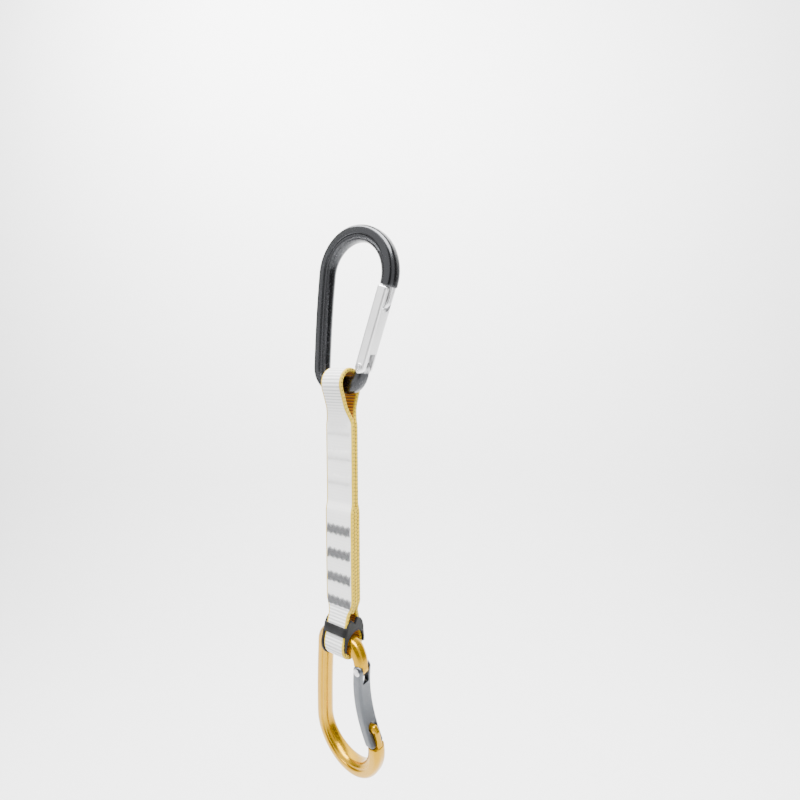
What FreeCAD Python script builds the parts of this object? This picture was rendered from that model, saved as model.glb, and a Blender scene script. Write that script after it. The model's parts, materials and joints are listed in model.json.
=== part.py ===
import FreeCAD, Part
import math
import os
import Sketcher
from FreeCAD import Placement, Rotation, Vector

# A climbing quickdraw: two forged aluminium carabiners joined by a sewn tape sling.
# Frame: +Z up, +X from the carabiners' spines to their gates, Y across the carabiners.
# The origin is the seat inside the top of the upper carabiner, where a bolt hanger bears.
# Each carabiner is drawn in its own frame: x from the outside of the spine, z from the
# outside of the narrow end, y = 0 in its middle plane. The lower one is the same, turned
# half a turn about X, so that its wide end hangs down.

SIZES = {
    # carabiner outline
    "carabiner_length": 98.0,
    "carabiner_width": 58.0,
    "bow_radius": 23.6,
    "straight_spine_top": 30.0,
    "foot_radius": 9.6,
    "gate_slant": 16.5,
    # half widths in the plane and half depths across it, along the body
    "spine_half_width": 4.7,
    "spine_half_depth": 4.2,
    "bow_half_width": 4.8,
    "bow_half_depth": 4.7,
    "foot_half_width": 5.3,
    "foot_half_depth": 4.3,
    "groove_depth": 1.5,
    # gate
    "gate_length": 47.9,
    "gate_width": 10.0,
    "gate_depth": 7.2,
    "gate_edge_radius": 1.6,
    "gate_bow": 4.0,
    "gate_tip_gap": 0.5,
    "fork_slot_width": 5.0,
    "fork_slot_end": 9.0,
    "keyhole_radius": 3.5,
    "keyhole_slot_width": 4.0,
    "keyhole_from_tip": 10.5,
    "upper_gate_travel": 30.0,
    "lower_gate_travel": 35.0,
    # nose and tongue of the body
    "nose_head_radius": 2.9,
    "nose_neck_width": 3.2,
    "nose_depth": 6.0,
    "nose_half_width": 4.6,
    "nose_overhang": 1.9,
    "nose_lift": 0.2,
    "nose_set_back": 0.35,
    "nose_rise": 4.0,
    "nose_root": 2.0,
    "tongue_width": 4.6,
    "tongue_root": 9.0,
    "riser_top": 2.2,
    "tongue_clearance_radius": 3.95,
    # rivet, plunger and spring
    "rivet_radius": 1.6,
    "rivet_running_gap": 0.06,
    "rivet_head_radius": 2.4,
    "rivet_head_height": 0.45,
    "plunger_radius": 1.6,
    "plunger_gap": 0.05,
    "plunger_reach": 5.0,
    "plunger_length": 9.0,
    "cam_lift": 1.6,
    "bore_end": 27.0,
    "bent_bore_tilt": 12.0,
    "spring_wire_radius": 0.25,
    "spring_radius": 1.25,
    "spring_turns": 9.0,
    # sling
    "upper_tilt": 4.0,
    "lower_tilt": 9.0,
    "lower_swing": 5.0,
    "lower_turn": -6.0,
    "sling_length": 180.0,
    "tape_width": 21.5,
    "loop_width": 15.6,
    "narrow_from_top": 36.0,
    "narrow_to_top": 22.0,
    "narrow_from_low": 143.0,
    "narrow_to_low": 153.0,
    "tape_thickness": 2.6,
    "loop_radius": 7.3,
    "loop_axis_height": 5.6,
    "tape_centre": 20.8,
    "two_layer_half": 2.8,
    "three_layer_half": 4.0,
    "layer_step": 3.0,
    "layer_split": 0.05,
    "upper_merge": 32.0,
    "overlap_start": 84.5,
    "lower_merge": 147.0,
    # bar tacks
    "tack_height": 5.4,
    "tack_width": 18.0,
    "tack_proud": 0.35,
    "tack_pitch": 15.1,
    "first_grey_tack": 99.2,
    "first_white_tack": 38.0,
    # rubber keeper
    "keeper_wall": 1.3,
    "keeper_band_height": 5.5,
    "keeper_band_top": 157.5,
    "keeper_eyelet_radius": 8.2,
    "keeper_gap": 0.1,
    "keeper_half_depth": 8.4,
}

doc = FreeCAD.newDocument("quickdraw")
sheet = doc.addObject("Spreadsheet::Sheet", "sizes")
for row, (alias, number) in enumerate(SIZES.items(), start=1):
    sheet.set(f"A{row}", alias)
    sheet.set(f"B{row}", str(number))
    sheet.setAlias(f"B{row}", alias)
doc.recompute()


def size(alias):
    """The number in the sheet's cell."""
    return float(sheet.get(alias))


def bind(thing, prop, expression):
    """Drives a property from the sheet, where a word such as <rivet_radius> names a cell."""
    thing.setExpression(prop, expression.replace("<", "sizes.").replace(">", ""))


# ---------------------------------------------------------------- frames and landmarks

slant = math.radians(size("gate_slant"))
spine_x = size("spine_half_width")
foot_z = size("foot_half_width")

bow_centre = (size("carabiner_width") - size("bow_half_width") - size("bow_radius"),
              size("carabiner_length") - size("bow_half_width") - size("bow_radius"))
nose = (bow_centre[0] + size("bow_radius") * math.cos(slant),
        bow_centre[1] - size("bow_radius") * math.sin(slant))
nose_distance = size("gate_length") + size("gate_tip_gap")
# the gate's line runs inside the nose's centreline, so that the nose stands proud of the gate
nose_shift = size("gate_depth") / 2 + size("nose_overhang") - size("nose_half_width")
rivet = (nose[0] - nose_distance * math.sin(slant) - nose_shift * math.cos(slant),
         nose[1] - nose_distance * math.cos(slant) + nose_shift * math.sin(slant))
foot_centre = (spine_x + size("foot_radius"), foot_z + size("foot_radius"))
riser_start = foot_z + size("foot_radius") * (1 - math.sin(slant))
riser_centre = (rivet[0] - (rivet[1] - riser_start) * math.tan(slant)
                - size("foot_radius") * math.cos(slant), foot_centre[1])
# the spine bends gently from its straight part into the bow
bend_x = bow_centre[0] - spine_x
bend_z = bow_centre[1] - size("straight_spine_top")
spine_bend = ((bend_x ** 2 + bend_z ** 2 - size("bow_radius") ** 2)
              / (2 * (bend_x - size("bow_radius"))))
bend_end = math.degrees(math.atan2(bend_z, bend_x - spine_bend))

loop_outer = size("loop_radius") + size("tape_thickness")
sling_seat = Vector(size("tape_centre"), 0, size("loop_axis_height"))
bow_inside = size("bow_radius") - size("bow_half_width")


def hung(turn, swing, tilt, flip, loop_point):
    """A carabiner's frame: its sling seat put at the loop's centre, then tilted, swung and turned."""
    place = Placement(loop_point, Rotation(Vector(0, 0, 1), turn))
    place = place * Placement(Vector(), Rotation(Vector(1, 0, 0), swing))
    place = place * Placement(Vector(), Rotation(Vector(0, 1, 0), tilt))
    place = place * Placement(Vector(), Rotation(Vector(1, 0, 0), flip))
    return place * Placement(-sling_seat, Rotation())


# the origin is the highest point inside the upper bow, where the hanger bears
bow_point = Vector(bow_centre[0], 0, bow_centre[1])
hanging = hung(0, 0, size("upper_tilt"), 0, Vector()).multVec(bow_point)
upper_loop = Vector(-hanging.x, 0, -hanging.z - bow_inside)
sling_top = upper_loop.z + loop_outer
lower_loop = Vector(upper_loop.x, 0, sling_top - size("sling_length") + loop_outer)

upper_frame = hung(0, 0, size("upper_tilt"), 0, upper_loop)
lower_frame = hung(size("lower_turn"), size("lower_swing"), size("lower_tilt"), 180, lower_loop)
gate_frame = Placement(Vector(rivet[0], 0, rivet[1]),
                       Rotation(Vector(0, 1, 0), size("gate_slant")))
sling_frame = Placement(Vector(upper_loop.x, 0, sling_top), Rotation())

subparts = []


def finished(thing, label, placement):
    """Names a sub-part, places it and lists it for export."""
    thing.Label = label
    thing.Placement = placement
    subparts.append(thing)
    return thing


# ---------------------------------------------------------------- carabiner bodies

def body_stations():
    """Centreline stations from the nose round the bow, spine and foot to the riser."""
    nose_half = (size("nose_half_width"), size("gate_width") / 2 - 0.1, 0.0)
    bow_half = (size("bow_half_width"), size("bow_half_depth"), 0.8)
    spine_half = (size("spine_half_width"), size("spine_half_depth"), 1.0)
    foot_half = (size("foot_half_width"), size("foot_half_depth"), 0.0)
    riser_half = (size("gate_depth") / 2, size("gate_width") / 2 - 0.1, 0.0)
    slant_deg = size("gate_slant")
    spine_start = (spine_x + spine_bend, size("straight_spine_top"))

    def mix(first, second, share):
        share = min(1.0, share)
        return tuple(a + (b - a) * share for a, b in zip(first, second))

    def arc(centre, radius, first, last, count, halves_at):
        """Stations round an arc between two angles, after its first point."""
        for step in range(1, count + 1):
            share = step / count
            angle = math.radians(first + (last - first) * share)
            stations.append((centre[0] + radius * math.cos(angle),
                             centre[1] + radius * math.sin(angle), angle, halves_at(share)))

    stations = [(*nose, math.radians(-slant_deg), nose_half)]
    arc(bow_centre, size("bow_radius"), -slant_deg, 90, 10,
        lambda share: mix(nose_half, bow_half, 1.6 * share))
    arc(bow_centre, size("bow_radius"), 90, bend_end, 8,
        lambda share: mix(bow_half, spine_half, share))
    arc(spine_start, spine_bend, bend_end, 180, 4, lambda share: spine_half)
    arc(foot_centre, size("foot_radius"), 180, 270, 6,
        lambda share: mix(spine_half, foot_half, share))
    arc(riser_centre, size("foot_radius"), 270, 360 - slant_deg, 6,
        lambda share: mix(foot_half, riser_half, 0.8 * share))
    riser_top = size("riser_top")
    stations.append((rivet[0] - riser_top * math.sin(slant), rivet[1] - riser_top * math.cos(slant),
                     math.radians(360 - slant_deg), riser_half))
    return stations


def body_section(across, height, angle, halves):
    """A forged section: round outer face, a recess in each flank and a thin inner flange."""
    half_width, half_depth, groove_share = halves
    floor = half_depth - size("groove_depth") * groove_share
    half_outline = [(1.0, 0.35 * half_depth), (0.88, 0.72 * half_depth), (0.62, 0.95 * half_depth),
                    (0.30, half_depth), (0.12, half_depth), (0.0, floor), (-0.5, floor),
                    (-0.62, 0.86 * half_depth), (-0.82, 0.68 * half_depth),
                    (-1.0, 0.3 * half_depth)]
    outline = half_outline + [(w, -d) for w, d in reversed(half_outline)]
    corners = [Vector(across + half_width * w * math.cos(angle), d,
                      height + half_width * w * math.sin(angle)) for w, d in outline]
    return Part.makePolygon(corners + corners[:1])


def tongue_outline(cam_start, travel):
    """Side outline of the tongue in the gate's frame: a cam that lifts the plunger."""
    half = size("gate_depth") / 2
    base = size("plunger_reach") - size("plunger_radius") - size("plunger_gap")
    reach, lift = size("plunger_reach"), size("cam_lift")
    drop = size("plunger_radius") + size("plunger_gap")
    start = math.radians(cam_start)
    root = -size("tongue_root")
    points = [Vector(-half, 0, root), Vector(half, 0, root), Vector(half, 0, -1)]
    for step in range(1, 9):
        angle = math.radians(90 - cam_start) * step / 8
        points.append(Vector(base * math.cos(angle), 0, base * math.sin(angle)))
    cam_steps = 14
    for step in range(cam_steps + 1):
        turn = start + math.radians(travel + 3) * step / cam_steps
        distance = reach + lift * (turn - start)
        away = Vector(-math.sin(turn), 0, math.cos(turn))
        along = Vector(-math.cos(turn), 0, -math.sin(turn))
        normal = (away * distance - along * lift).normalize()
        points.append(away * distance - normal * drop)
    return Part.makePolygon(points + points[:1])


def prism(wire, width):
    """A flat outline in the XZ plane, thickened evenly across Y."""
    face = Part.Face(wire)
    face.translate(Vector(0, -width / 2, 0))
    return face.extrude(Vector(0, width, 0))


def nose_shape():
    """The keylock nose, in the gate's frame: a flat neck that ends in a round head."""
    centre = size("gate_length") - size("keyhole_from_tip") + size("nose_lift")
    depth, half_neck = size("nose_depth"), size("nose_neck_width") / 2
    outside = size("gate_depth") / 2 + size("nose_overhang") - size("nose_set_back")
    head = Part.makeCylinder(size("nose_head_radius"), depth, Vector(-depth / 2, 0, centre),
                             Vector(1, 0, 0))
    root = nose_distance + size("nose_root")
    side = [(-depth / 2, centre), (depth / 2, centre), (outside, centre + size("nose_rise")),
            (outside, root), (-depth / 2, root), (-depth / 2, centre)]
    neck = prism(Part.makePolygon([Vector(across, 0, along) for across, along in side]),
                 2 * half_neck)
    return head.fuse(neck)


def carabiner_body(label, frame, cam_start, travel):
    """The forged body: one loft, with the rivet tongue and the nose at its two ends."""
    loft = Part.makeLoft([body_section(*station) for station in body_stations()], True, True)
    relief = Part.makeCylinder(size("tongue_clearance_radius"), 20, Vector(0, -10, 0),
                               Vector(0, 1, 0))
    relief.Placement = gate_frame
    tongue = prism(tongue_outline(cam_start, travel), size("tongue_width"))
    pin_hole = Part.makeCylinder(size("rivet_radius") + size("rivet_running_gap"), 20,
                                 Vector(0, -10, 0), Vector(0, 1, 0))
    tongue = tongue.cut(pin_hole)
    tongue.Placement = gate_frame
    nose_part = nose_shape()
    nose_part.Placement = gate_frame
    body = doc.addObject("Part::Feature", label)
    body.Shape = loft.cut(relief).fuse([tongue, nose_part]).removeSplitter()
    return finished(body, label, frame)


# ---------------------------------------------------------------- gates

def sketch_on(body, role, name, offset=None):
    """A sketch on one of the body's own origin planes."""
    sketch = body.newObject("Sketcher::SketchObject", name)
    plane = [f for f in body.Origin.OriginFeatures if f.Role == role][0]
    sketch.AttachmentSupport = [(plane, "")]
    sketch.MapMode = "FlatFace"
    if offset is not None:
        sketch.AttachmentOffset = offset
    return sketch


def add_lines(sketch, points):
    """A closed run of straight edges."""
    for first, second in zip(points, points[1:] + points[:1]):
        sketch.addGeometry(Part.LineSegment(Vector(*first, 0), Vector(*second, 0)), False)


def add_circle(sketch, centre, alias):
    """A circle whose radius is a cell of the sheet."""
    index = sketch.addGeometry(Part.Circle(Vector(*centre, 0), Vector(0, 0, 1), size(alias)), False)
    rule = sketch.addConstraint(Sketcher.Constraint("Radius", index, size(alias)))
    sketch.renameConstraint(rule, "radius")
    bind(sketch, "Constraints.radius", f"<{alias}>")


def through_pocket(body, sketch, name):
    """Cuts the sketch right through the body, both ways."""
    before = body.Tip.Shape.Volume
    pocket = body.newObject("PartDesign::Pocket", name)
    pocket.Profile = sketch
    pocket.Type = "Length"
    pocket.Midplane = True
    pocket.Length = 60
    body.Tip = pocket
    doc.recompute()
    if pocket.Shape.Volume > before - 1:
        raise ValueError(name + " cut nothing")
    return pocket


def gate(label, frame, bow, bore_tilt):
    """A solid gate: keyhole slot at its tip, fork at its pivot and a bore for the spring."""
    body = doc.addObject("PartDesign::Body", label)
    half = size("gate_depth") / 2
    tip = size("gate_length")

    side = sketch_on(body, "XZ_Plane", label + "_side")
    lean = 2 * math.atan(2 * bow / tip)
    foot_out = (half * math.cos(lean), half * math.sin(lean))
    foot_low = (half * math.sin(lean), -half * math.cos(lean))
    if bow:
        turn_radius = (tip ** 2 / 4 + bow ** 2) / (2 * bow)
        turn_x = turn_radius - bow
        ends = []
        for sign in (1, -1):
            face_radius = turn_radius - sign * half
            end_x = turn_x - math.sqrt(face_radius ** 2 - tip ** 2 / 4)
            ends.append((end_x, tip))
            arc = Part.Arc(Vector(sign * foot_out[0], sign * foot_out[1], 0),
                           Vector(turn_x - face_radius, tip / 2, 0), Vector(end_x, tip, 0))
            side.addGeometry(arc, False)
    else:
        ends = [(half, tip), (-half, tip)]
        for sign in (1, -1):
            side.addGeometry(Part.LineSegment(Vector(sign * half, 0, 0),
                                              Vector(sign * half, tip, 0)), False)
    side.addGeometry(Part.LineSegment(Vector(*ends[0], 0), Vector(*ends[1], 0)), False)
    side.addGeometry(Part.Arc(Vector(-foot_out[0], -foot_out[1], 0), Vector(*foot_low, 0),
                              Vector(*foot_out, 0)), False)
    blank = body.newObject("PartDesign::Pad", label + "_blank")
    blank.Profile = side
    blank.Midplane = True
    bind(blank, "Length", "<gate_width>")
    doc.recompute()

    long_edges = [f"Edge{i}" for i, edge in enumerate(blank.Shape.Edges, start=1)
                  if edge.BoundBox.ZLength > 0.8 * tip]
    rounded = body.newObject("PartDesign::Fillet", label + "_rounded")
    rounded.Base = (blank, long_edges)
    bind(rounded, "Radius", "<gate_edge_radius>")
    body.Tip = rounded
    doc.recompute()

    slot, hole = size("keyhole_slot_width") / 2, size("keyhole_radius")
    hole_z = tip - size("keyhole_from_tip")
    mouth_z = hole_z + math.sqrt(hole ** 2 - slot ** 2)
    keyhole = sketch_on(body, "YZ_Plane", label + "_keyhole")
    keyhole.addGeometry(Part.Arc(Vector(-slot, mouth_z, 0), Vector(0, hole_z - hole, 0),
                                 Vector(slot, mouth_z, 0)), False)
    mouth = [(slot, mouth_z), (slot, tip + 5), (-slot, tip + 5), (-slot, mouth_z)]
    for first, second in zip(mouth, mouth[1:]):
        keyhole.addGeometry(Part.LineSegment(Vector(*first, 0), Vector(*second, 0)), False)
    through_pocket(body, keyhole, label + "_keyhole_cut")
    fork = size("fork_slot_width") / 2
    fork_sketch = sketch_on(body, "YZ_Plane", label + "_fork")
    add_lines(fork_sketch, [(-fork, -10), (fork, -10), (fork, size("fork_slot_end")),
                            (-fork, size("fork_slot_end"))])
    through_pocket(body, fork_sketch, label + "_fork_cut")
    pin_sketch = sketch_on(body, "XZ_Plane", label + "_pin")
    add_circle(pin_sketch, (0, 0), "rivet_radius")
    through_pocket(body, pin_sketch, label + "_pin_cut")

    turned = Placement(Vector(), Rotation(Vector(0, 0, 1), bore_tilt))
    bore_sketch = sketch_on(body, "XZ_Plane", label + "_bore", turned)
    bore_radius = size("plunger_radius") + size("plunger_gap")
    add_lines(bore_sketch, [(0, size("plunger_reach")), (bore_radius, size("plunger_reach")),
                            (bore_radius, size("bore_end")), (0, size("bore_end"))])
    before = body.Tip.Shape.Volume
    bore = body.newObject("PartDesign::Groove", label + "_bore_cut")
    bore.Profile = bore_sketch
    bore.ReferenceAxis = (bore_sketch, ["V_Axis"])
    bore.Angle = 360
    body.Tip = bore
    doc.recompute()
    if bore.Shape.Volume > before - 1:
        raise ValueError("the spring bore cut nothing")
    return finished(body, label, frame * gate_frame)


def rivet_pin(label, frame):
    """The pivot rivet: a plain shank held in the fork, with a low domed head each side."""
    body = doc.addObject("PartDesign::Body", label)
    sketch = sketch_on(body, "XY_Plane", label + "_outline")
    shank, head = size("rivet_radius"), size("rivet_head_radius")
    cheek, proud = size("gate_width") / 2, size("rivet_head_height")
    add_lines(sketch, [(0, -cheek - proud), (head * 0.6, -cheek - proud), (head, -cheek),
                       (shank, -cheek), (shank, cheek), (head, cheek),
                       (head * 0.6, cheek + proud), (0, cheek + proud)])
    turning = body.newObject("PartDesign::Revolution", label + "_turned")
    turning.Profile = sketch
    turning.ReferenceAxis = (sketch, ["V_Axis"])
    turning.Angle = 360
    return finished(body, label, frame * gate_frame)


def plunger(label, frame, tilt):
    """The spring plunger: a short pin whose round end presses on the tongue's cam."""
    body = doc.addObject("PartDesign::Body", label)
    sketch = sketch_on(body, "XZ_Plane", label + "_outline")
    radius, length = size("plunger_radius"), size("plunger_length")
    corner = radius * math.sqrt(0.5)
    sketch.addGeometry(Part.Arc(Vector(0, -radius, 0), Vector(corner, -corner, 0),
                                Vector(radius, 0, 0)), False)
    for first, second in (((radius, 0), (radius, length)), ((radius, length), (0, length)),
                          ((0, length), (0, -radius))):
        sketch.addGeometry(Part.LineSegment(Vector(*first, 0), Vector(*second, 0)), False)
    turning = body.newObject("PartDesign::Revolution", label + "_turned")
    turning.Profile = sketch
    turning.ReferenceAxis = (sketch, ["V_Axis"])
    turning.Angle = 360
    bore_line = Placement(Vector(), Rotation(Vector(0, 1, 0), -tilt))
    tip = Placement(Vector(0, 0, size("plunger_reach")), Rotation())
    return finished(body, label, frame * gate_frame * bore_line * tip)


def gate_spring(label, frame, tilt):
    """The coil spring between the plunger's back and the bore's end."""
    wire = size("spring_wire_radius")
    start = size("plunger_reach") + size("plunger_length") + wire + 0.05
    room = size("bore_end") - start - wire - 0.05
    helix = doc.addObject("Part::Helix", label + "_line")
    helix.LocalCoord = 0
    helix.Pitch = room / size("spring_turns")
    helix.Height = room
    bind(helix, "Radius", "<spring_radius>")
    ring = doc.addObject("Part::Circle", label + "_wire")
    bind(ring, "Radius", "<spring_wire_radius>")
    ring.Placement = Placement(Vector(size("spring_radius"), 0, 0),
                               Rotation(Vector(1, 0, 0), 90))
    coil = doc.addObject("Part::Sweep", label)
    coil.Sections = [ring]
    coil.Spine = (helix, [])
    coil.Solid = True
    coil.Frenet = True
    bore_line = Placement(Vector(), Rotation(Vector(0, 1, 0), -tilt))
    lift = Placement(Vector(0, 0, start), Rotation())
    return finished(coil, label, frame * gate_frame * bore_line * lift)


def carabiner(prefix, frame, bow, tilt, travel):
    """One whole carabiner: body, gate, rivet, plunger and spring."""
    carabiner_body(prefix + "_body", frame, tilt, travel)
    gate(prefix + "_gate", frame, bow, tilt)
    rivet_pin(prefix + "_rivet", frame)
    plunger(prefix + "_plunger", frame, tilt)
    gate_spring(prefix + "_spring", frame, tilt)


# ---------------------------------------------------------------- sling

def tangent_points(radius, centre_z, half, merge_z):
    """Where a line from (half, merge_z) touches the circle on its +Y side."""
    away_y, away_z = half, merge_z - centre_z
    distance = math.hypot(away_y, away_z)
    aim = math.atan2(away_z, away_y)
    spread = math.acos(radius / distance)
    angle = aim + spread if away_z < 0 else aim - spread
    return radius * math.cos(angle), centre_z + radius * math.sin(angle)


def add_loop_side(sketch, radius, centre_z, half, merge_z, top):
    """One end of the sling's outline: an arc round the loop and its two straight legs."""
    touch_y, touch_z = tangent_points(radius, centre_z, half, merge_z)
    peak = centre_z + radius * (1 if top else -1)
    sketch.addGeometry(Part.Arc(Vector(-touch_y, touch_z, 0), Vector(0, peak, 0),
                                Vector(touch_y, touch_z, 0)), False)
    for sign in (1, -1):
        sketch.addGeometry(Part.LineSegment(Vector(sign * touch_y, touch_z, 0),
                                            Vector(sign * half, merge_z, 0)), False)


def sling_tape():
    """The sewn sling, drawn from its top: a loop at each end and stacked layers between."""
    body = doc.addObject("PartDesign::Body", "sling_tape")
    sketch = sketch_on(body, "YZ_Plane", "tape_outline")
    inner, outer = size("loop_radius"), loop_outer
    top_centre, low_centre = -outer, outer - size("sling_length")
    two, three = size("two_layer_half"), size("three_layer_half")
    merge, overlap, low_merge = (-size(a) for a in ("upper_merge", "overlap_start", "lower_merge"))
    add_loop_side(sketch, outer, top_centre, two, merge, True)
    add_loop_side(sketch, outer, low_centre, three, low_merge, False)
    step = size("layer_step")
    for sign in (1, -1):
        run = [(sign * two, merge), (sign * two, overlap), (sign * three, overlap - step),
               (sign * three, low_merge)]
        for first, second in zip(run, run[1:]):
            sketch.addGeometry(Part.LineSegment(Vector(*first, 0), Vector(*second, 0)), False)
    split = size("layer_split")
    add_loop_side(sketch, inner, top_centre, split, merge, True)
    add_loop_side(sketch, inner, low_centre, split, low_merge + 1.0, False)
    for height in (merge, low_merge + 1.0):
        sketch.addGeometry(Part.LineSegment(Vector(-split, height, 0), Vector(split, height, 0)),
                           False)
    pad = body.newObject("PartDesign::Pad", "tape_width")
    pad.Profile = sketch
    pad.Midplane = True
    bind(pad, "Length", "<tape_width>")
    body.Tip = pad
    doc.recompute()

    # the tape is folded in at both ends to fit inside the carabiners
    wide, slim, clear = size("tape_width") / 2, size("loop_width") / 2, 20.0
    for name, outside, narrow, full in (
            ("top_loop", 5.0, -size("narrow_to_top"), -size("narrow_from_top")),
            ("low_loop", -size("sling_length") - 5.0, -size("narrow_to_low"),
             -size("narrow_from_low"))):
        sides = sketch_on(body, "XZ_Plane", name + "_sides")
        for sign in (1, -1):
            add_lines(sides, [(sign * slim, outside), (sign * clear, outside),
                              (sign * clear, full), (sign * wide, full), (sign * slim, narrow)])
        through_pocket(body, sides, name + "_narrowed")
    return finished(body, "sling_tape", sling_frame)


def bar_tack(label, distance, half):
    """A dense zigzag seam right through the layers: a patch of thread on each face."""
    patches = []
    for side, sign in (("front", -1), ("back", 1)):
        patch = doc.addObject("Part::Box", label + "_" + side)
        bind(patch, "Length", "<tack_width>")
        bind(patch, "Width", "<tack_proud>")
        bind(patch, "Height", "<tack_height>")
        near = half if sign > 0 else -half - size("tack_proud")
        patch.Placement = Placement(Vector(-size("tack_width") / 2, near,
                                           -distance - size("tack_height") / 2), Rotation())
        patches.append(patch)
    pair = doc.addObject("Part::Compound", label)
    pair.Links = patches
    return finished(pair, label, sling_frame)


def rubber_keeper():
    """The rubber keeper: a band round the tape and an eyelet beside each edge of the loop."""
    body = doc.addObject("PartDesign::Body", "rubber_keeper")
    wall = size("keeper_wall")
    gap = size("keeper_gap")
    edge = size("loop_width") / 2 + gap
    half = size("keeper_half_depth")
    band_top = -size("keeper_band_top")
    band_low = band_top - size("keeper_band_height")
    low_centre = loop_outer - size("sling_length")

    band_sketch = sketch_on(body, "XY_Plane", "band_outline",
                            Placement(Vector(0, 0, band_low), Rotation()))
    for grow in (0, wall):
        add_lines(band_sketch, [(-edge - grow, -half - grow), (edge + grow, -half - grow),
                                (edge + grow, half + grow), (-edge - grow, half + grow)])
    band = body.newObject("PartDesign::Pad", "band")
    band.Profile = band_sketch
    bind(band, "Length", "<keeper_band_height>")
    body.Tip = band
    doc.recompute()

    for name, offset in (("spine_side", -edge - wall), ("gate_side", edge)):
        plate_sketch = sketch_on(body, "YZ_Plane", name + "_outline",
                                 Placement(Vector(0, 0, offset), Rotation()))
        plate_half = half + wall
        rim = loop_outer + 3 * gap
        add_loop_side(plate_sketch, rim, low_centre, plate_half, band_low, False)
        shoulders = [(plate_half, band_low), (plate_half, band_top),
                     (-plate_half, band_top), (-plate_half, band_low)]
        for first, second in zip(shoulders, shoulders[1:]):
            plate_sketch.addGeometry(Part.LineSegment(Vector(*first, 0), Vector(*second, 0)), False)
        add_circle(plate_sketch, (0, low_centre), "keeper_eyelet_radius")
        plate = body.newObject("PartDesign::Pad", name + "_eyelet")
        plate.Profile = plate_sketch
        bind(plate, "Length", "<keeper_wall>")
        body.Tip = plate
        doc.recompute()
    return finished(body, "rubber_keeper", sling_frame)


# ---------------------------------------------------------------- assembly

carabiner("upper", upper_frame, 0.0, 0.0, size("upper_gate_travel"))
carabiner("lower", lower_frame, size("gate_bow"), size("bent_bore_tilt"),
          size("lower_gate_travel"))
sling_tape()
for number in range(4):
    bar_tack(f"grey_tack_{number + 1}", size("first_grey_tack") + number * size("tack_pitch"),
             size("three_layer_half"))
for number in range(3):
    bar_tack(f"white_tack_{number + 1}", size("first_white_tack") + number * size("tack_pitch"),
             size("two_layer_half"))
rubber_keeper()
doc.recompute()

for thing in doc.Objects:
    if "Invalid" in thing.State or "Error" in thing.State:
        raise ValueError(thing.Label + " failed: " + str(thing.State))
os.makedirs("parts", exist_ok=True)
for thing in subparts:
    shape = thing.Shape
    if shape.isNull() or not shape.isValid() or not shape.Solids:
        raise ValueError(thing.Label + " is not a valid solid")
    shape.exportStep(os.path.join("parts", thing.Label + ".step"))
    print(f"{thing.Label:16s} solids {len(shape.Solids)}  volume {shape.Volume:9.1f} mm3")


def told(name, frame, points):
    """Prints where named points of one carabiner are, for the record."""
    for label, point in points.items():
        print("at", name, label, *(round(v, 4) for v in frame.multVec(point)))
    for label, way in (("across", Vector(0, 1, 0)), ("width", Vector(1, 0, 0)),
                       ("length", Vector(0, 0, 1))):
        print("way", name, label, *(round(v, 7) for v in frame.Rotation.multVec(way)))


landmarks = {"rivet": Vector(rivet[0], 0, rivet[1]), "bow": bow_point, "seat": sling_seat}
told("upper", upper_frame, landmarks)
told("lower", lower_frame, landmarks)
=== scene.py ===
import json
import math

import bmesh
import bpy
from mathutils import Matrix, Vector


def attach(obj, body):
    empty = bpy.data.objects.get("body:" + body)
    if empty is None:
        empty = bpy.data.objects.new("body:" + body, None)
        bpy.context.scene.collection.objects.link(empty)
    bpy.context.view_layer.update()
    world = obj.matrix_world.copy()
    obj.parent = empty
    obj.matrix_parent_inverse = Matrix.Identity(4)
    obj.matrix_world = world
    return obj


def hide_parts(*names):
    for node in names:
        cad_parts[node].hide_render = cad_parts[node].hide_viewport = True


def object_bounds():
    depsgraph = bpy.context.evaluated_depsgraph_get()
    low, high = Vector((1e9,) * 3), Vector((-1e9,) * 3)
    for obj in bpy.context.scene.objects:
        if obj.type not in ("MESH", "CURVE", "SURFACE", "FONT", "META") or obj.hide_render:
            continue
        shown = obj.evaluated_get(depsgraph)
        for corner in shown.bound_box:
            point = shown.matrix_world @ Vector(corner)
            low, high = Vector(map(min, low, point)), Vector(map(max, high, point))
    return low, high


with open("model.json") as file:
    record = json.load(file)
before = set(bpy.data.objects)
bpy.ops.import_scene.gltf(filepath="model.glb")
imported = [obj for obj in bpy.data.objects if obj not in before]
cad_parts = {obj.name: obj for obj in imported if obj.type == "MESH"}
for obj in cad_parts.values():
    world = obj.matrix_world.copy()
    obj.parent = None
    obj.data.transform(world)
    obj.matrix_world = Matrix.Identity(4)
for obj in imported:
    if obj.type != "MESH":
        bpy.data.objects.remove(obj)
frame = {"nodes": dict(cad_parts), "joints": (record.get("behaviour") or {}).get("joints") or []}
cad_low, cad_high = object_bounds()

# ------------------------------------------------------------------ room, light and camera
# A hanging product shot: a pale seamless wall and floor, one large soft box at the left, a softer one at the
# right and a top light. The camera stands close, level with the upper carabiner's foot.

MM = 0.001
ROOM_COLOUR = (0.93, 0.93, 0.93, 1.0)
FLOOR_Z = -0.62
WALL_DISTANCE = 0.75
COVE_RADIUS = 0.30
ROOM_HALF_WIDTH = 2.2
CAMERA_AT = Vector((0.1681, -0.2077, -0.0752))
CAMERA_TURN, CAMERA_DROP, CAMERA_ROLL = 33.7, 3.5, -0.1
CAMERA_LENS = 20.25


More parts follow.
